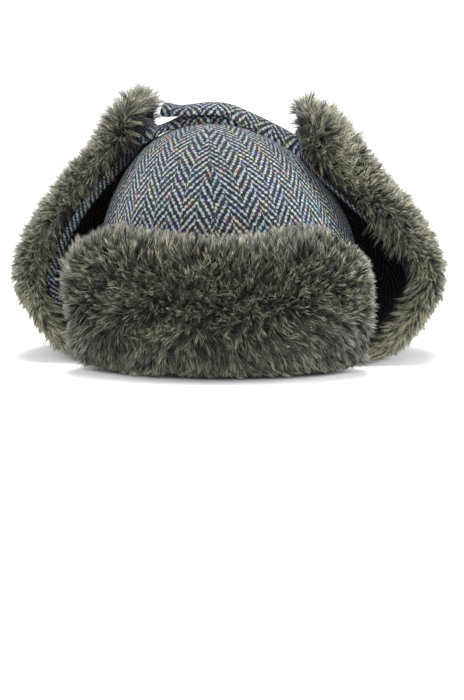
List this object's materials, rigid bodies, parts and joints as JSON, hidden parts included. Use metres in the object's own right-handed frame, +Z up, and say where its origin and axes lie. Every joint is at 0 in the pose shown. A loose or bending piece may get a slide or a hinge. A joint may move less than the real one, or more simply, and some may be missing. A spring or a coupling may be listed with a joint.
{
  "type": "aviator hat",
  "caption": "Tweed aviator hat with a gored dome crown, fur-faced visor and ear and neck flaps turned up around it, and straps snapped together over the top.",
  "frame": {"origin": "middle of the hat's outline on the surface that it rests on", "axes": "+Z up through the crown, -Y towards the visor at the front, +X towards the wearer's left"},
  "size_m": [0.309, 0.2936, 0.189],
  "materials": {
    "tweed": "wool tweed in a navy and pale grey herringbone with coloured flecks",
    "fur": "deep taupe pile with darker roots and paler tips",
    "snap_metal": "plain pressed metal"
  },
  "bodies": {
    "root": {"crown_panel_front_left": "tweed", "crown_panel_front_right": "tweed", "crown_panel_side_left": "tweed", "crown_panel_side_right": "tweed", "crown_panel_back_left": "tweed", "crown_panel_back_right": "tweed", "visor_shell": "tweed", "visor_fur": "fur", "flap_shell_left": "tweed", "flap_fur_left": "fur", "strap_left": "tweed", "flap_shell_right": "tweed", "flap_fur_right": "fur", "strap_right": "tweed", "strap_snap": "snap_metal"}
  },
  "joints": []
}
